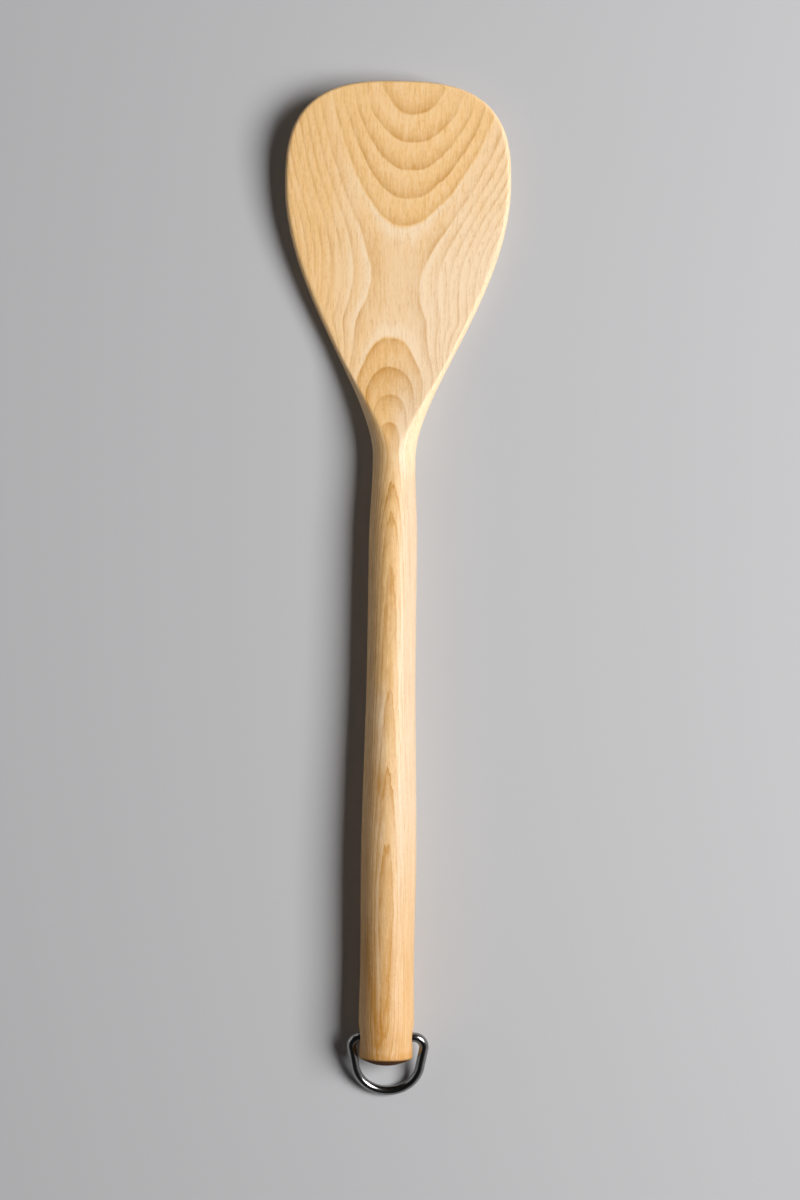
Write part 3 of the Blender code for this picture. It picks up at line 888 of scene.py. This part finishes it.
def make_floor(look):
    """A plain matt floor, which shows as pale as the horizon far from the object."""
    material, g = new_material("floor")
    x, y, _ = g.place()
    far = (x * x + y * y).sqrt().step(*PALE_FLOOR) * g.seen()
    shader = g.node(
        "ShaderNodeBsdfPrincipled",
        values={
            "Base Color": look.floor,
            "Roughness": 0.9,
            "Emission Color": g.blend(far, BLACK, HORIZON),
            "Emission Strength": 1.0,
        },
    )
    g.finish("ShaderNodeOutputMaterial", shader)
    return material


def add_lamp(name, towards, distance, size, level):
    """A square lamp that lights a level surface at the origin by level, where 1 shows a colour as written.

    A square lamp of power P at distance d, square on, gives a white surface a brightness of P over pi squared
    times d squared, and a surface at an angle that times the angle's cosine.
    """
    direction = Vector(towards).normalized()
    lamp = bpy.data.lights.new(name, "AREA")
    lamp.size = size
    lamp.energy = level * np.pi**2 * distance**2 / direction.z
    obj = bpy.data.objects.new(name, lamp)
    obj.location = direction * distance
    obj.rotation_euler = direction.to_track_quat("Z", "Y").to_euler()
    bpy.context.scene.collection.objects.link(obj)
    return obj


def make_world(level):
    """Even light of one level. The camera, metal and glass see a pale horizon under a dim ceiling instead."""
    world = bpy.data.worlds.new("studio")
    bpy.context.scene.world = world
    world.use_nodes = True
    g = Graph(world.node_tree)
    way = g.node("ShaderNodeTexCoord").outputs["Generated"]
    up = g.node("ShaderNodeSeparateXYZ", values=[way]).outputs[2]
    ceiling = g.blend(Num(g, up).step(0.02, 0.5), HORIZON, CEILING)
    shown = g.blend(g.seen(), (level, level, level), ceiling)
    g.finish("ShaderNodeOutputWorld", g.node("ShaderNodeBackground", values={"Color": shown}))


class SPATULA_OT_body(bpy.types.Operator):
    """Make the wooden body: blade, neck and handle in one, with the ring's cross hole"""

    bl_idname = "spatula.make_body"
    bl_label = "Wooden body"

    def execute(self, context):
        form = BodyForm(context.scene.spatula_body)
        tip = (0.0, form.tip_y, float(form.edge_height(np.array([form.tip_y]))[0]))
        butt = (0.0, form.butt_y - form.sizes.butt_dome_rise, form.axis_height)
        solid = closed_mesh("uncut body", form.loops(), tip, butt)
        bore = form.hole_loops()
        ends = [tuple(loop.mean(axis=0)) for loop in (bore[0], bore[-1])]
        mesh = cut(solid, closed_mesh("bore", bore, *ends))
        if len(mesh.polygons) <= len(solid.polygons) // 2:
            raise RuntimeError("the cross hole could not be cut")
        finish_mesh(mesh, make_wood(context.scene.spatula_wood, form))
        add_piece("carved_wood", mesh, "wooden_body", "spatula")
        return {"FINISHED"}


class SPATULA_OT_ring(bpy.types.Operator):
    """Make the wire hanging ring, lying on the table behind the butt"""

    bl_idname = "spatula.make_ring"
    bl_label = "Hanging ring"

    def execute(self, context):
        sizes = context.scene.spatula_ring
        loops, ends = ring_loops(sizes)
        mesh = closed_mesh("wire ring", loops, *ends)
        slip = (RING_BOX[0].x + RING_BOX[1].x) / 2
        tilt = np.arcsin((RING_HINGE.z - sizes.wire_radius) / sizes.reach)
        place = Matrix.Translation((slip, RING_HINGE.y, RING_HINGE.z))
        mesh.transform(place @ Matrix.Rotation(tilt, 4, "X"))
        finish_mesh(mesh, make_steel(context.scene.spatula_steel))
        add_piece("wire_ring", mesh, "hanging_ring", "ring")
        return {"FINISHED"}


class SPATULA_OT_stage(bpy.types.Operator):
    """Make the floor, the lamps and the camera that looks straight down"""

    bl_idname = "spatula.make_stage"
    bl_label = "Stage"

    def execute(self, context):
        look = context.scene.spatula_stage
        half, level = FLOOR_HALF, FLOOR_HEIGHT
        corners = [(-half, -half, level), (half, -half, level), (half, half, level), (-half, half, level)]
        mesh = bpy.data.meshes.new("floor")
        mesh.from_pydata(corners, [], [(0, 1, 2, 3)])
        mesh.materials.append(make_floor(look))
        floor = bpy.data.objects.new("floor", mesh)
        context.scene.collection.objects.link(floor)

        add_lamp("key", (0.90, 0.04, 1.0), 1.35, 0.75, 0.99)
        add_lamp("back", (-1.0, 1.0, 0.9), 1.5, 0.32, 0.016)
        add_lamp("low side", (-3.0, 0.3, 0.5), 1.5, 0.9, 0.012)
        make_world(0.022)

        camera = bpy.data.cameras.new("camera")
        camera.lens = LENS
        camera.sensor_width = SENSOR_WIDTH
        obj = bpy.data.objects.new("camera", camera)
        obj.location = (CAMERA_X, CAMERA_Y, look.camera_height)
        obj.rotation_euler = (0.0, 0.0, look.turn)
        context.scene.collection.objects.link(obj)
        context.scene.camera = obj
        context.scene.view_settings.view_transform = "Standard"
        return {"FINISHED"}


class SPATULA_PT_panel(bpy.types.Panel):
    """Lists the spatula's pieces and their sizes"""

    bl_label = "Spatula"
    bl_idname = "SPATULA_PT_panel"
    bl_space_type = "VIEW_3D"
    bl_region_type = "UI"
    bl_category = "Spatula"

    def draw(self, context):
        for operator, groups in PIECES:
            box = self.layout.box()
            box.operator(operator.bl_idname)
            for group in groups:
                values = getattr(context.scene, group)
                for key in values.bl_rna.properties.keys():
                    if key not in ("rna_type", "name"):
                        box.prop(values, key)


PIECES = (
    (SPATULA_OT_body, ("spatula_body", "spatula_wood")),
    (SPATULA_OT_ring, ("spatula_ring", "spatula_steel")),
    (SPATULA_OT_stage, ("spatula_stage",)),
)
GROUPS = {
    "spatula_body": SpatulaBodySizes,
    "spatula_ring": SpatulaRingSizes,
    "spatula_wood": SpatulaWoodLook,
    "spatula_steel": SpatulaSteelLook,
    "spatula_stage": SpatulaStageLook,
}


def register():
    """Adds the groups of sizes and looks, the operators and the panel."""
    for name, group in GROUPS.items():
        bpy.utils.register_class(group)
        setattr(bpy.types.Scene, name, PointerProperty(type=group))
    for operator, _ in PIECES:
        bpy.utils.register_class(operator)
    bpy.utils.register_class(SPATULA_PT_panel)


def unregister():
    """Takes away what register adds, in the opposite order."""
    bpy.utils.unregister_class(SPATULA_PT_panel)
    for operator, _ in reversed(PIECES):
        bpy.utils.unregister_class(operator)
    for name, group in reversed(GROUPS.items()):
        delattr(bpy.types.Scene, name)
        bpy.utils.unregister_class(group)


def main():
    """Makes every piece and the stage."""
    register()
    bpy.ops.spatula.make_body()
    bpy.ops.spatula.make_ring()
    bpy.ops.spatula.make_stage()


if __name__ == "__main__":
    main()
